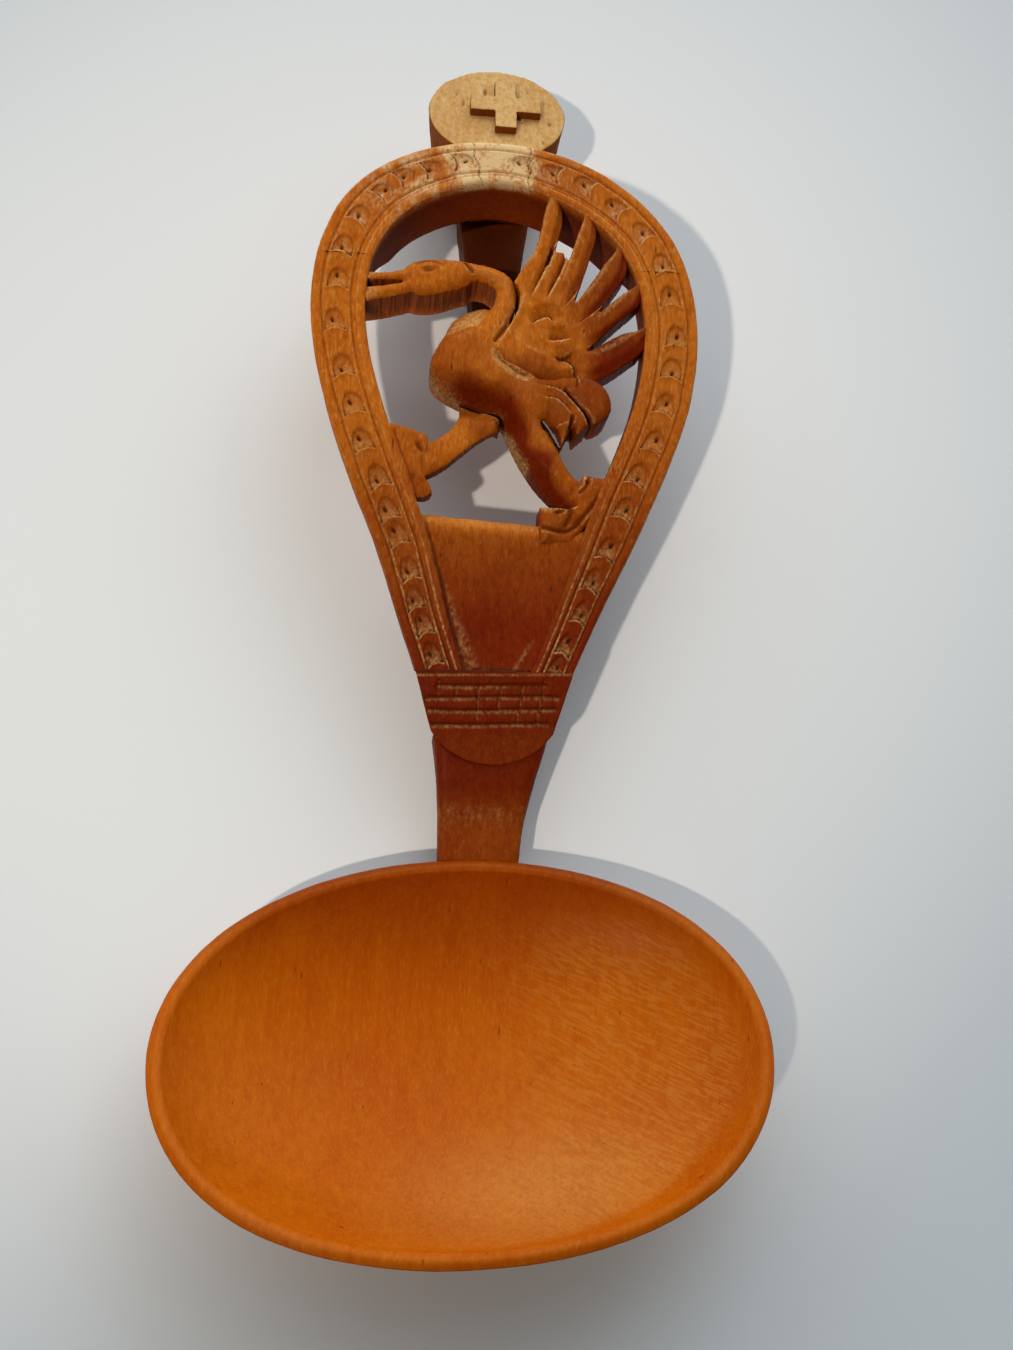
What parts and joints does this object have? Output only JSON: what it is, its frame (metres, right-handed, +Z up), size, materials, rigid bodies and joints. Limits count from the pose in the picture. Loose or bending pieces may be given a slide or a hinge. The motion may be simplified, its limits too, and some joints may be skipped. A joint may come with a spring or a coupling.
{
  "type": "carved cream spoon",
  "caption": "Carved wooden Alpine cream spoon with a wide shallow bowl, an openwork handle holding a crane, and a hook for a tub's rim.",
  "frame": {"origin": "middle of the flat that the bowl rests on, on the table", "axes": "+X right, +Y from the bowl to the hook, +Z up, with the spoon on its back"},
  "size_m": [0.0916, 0.2047, 0.0291],
  "materials": {
    "oiled_wood": "hand carved, oiled, satin"
  },
  "bodies": {
    "root": {"bowl": "oiled_wood", "neck": "oiled_wood", "brick_band": "oiled_wood", "panel": "oiled_wood", "left_rail": "oiled_wood", "right_rail": "oiled_wood", "crown": "oiled_wood", "hook_arm": "oiled_wood", "hook_knob": "oiled_wood", "knob_cross": "oiled_wood", "hook_tail": "oiled_wood", "bird_body": "oiled_wood", "bird_neck": "oiled_wood", "bird_head": "oiled_wood", "upper_beak": "oiled_wood", "lower_beak": "oiled_wood", "wing_shoulder": "oiled_wood", "wing_feather_1": "oiled_wood", "wing_feather_2": "oiled_wood", "wing_feather_3": "oiled_wood", "wing_feather_4": "oiled_wood", "wing_feather_5": "oiled_wood", "short_feather": "oiled_wood", "tail_plume_1": "oiled_wood", "tail_plume_2": "oiled_wood", "tail_plume_3": "oiled_wood", "front_leg": "oiled_wood", "front_foot": "oiled_wood", "rear_leg": "oiled_wood", "rear_foot": "oiled_wood"}
  },
  "joints": []
}
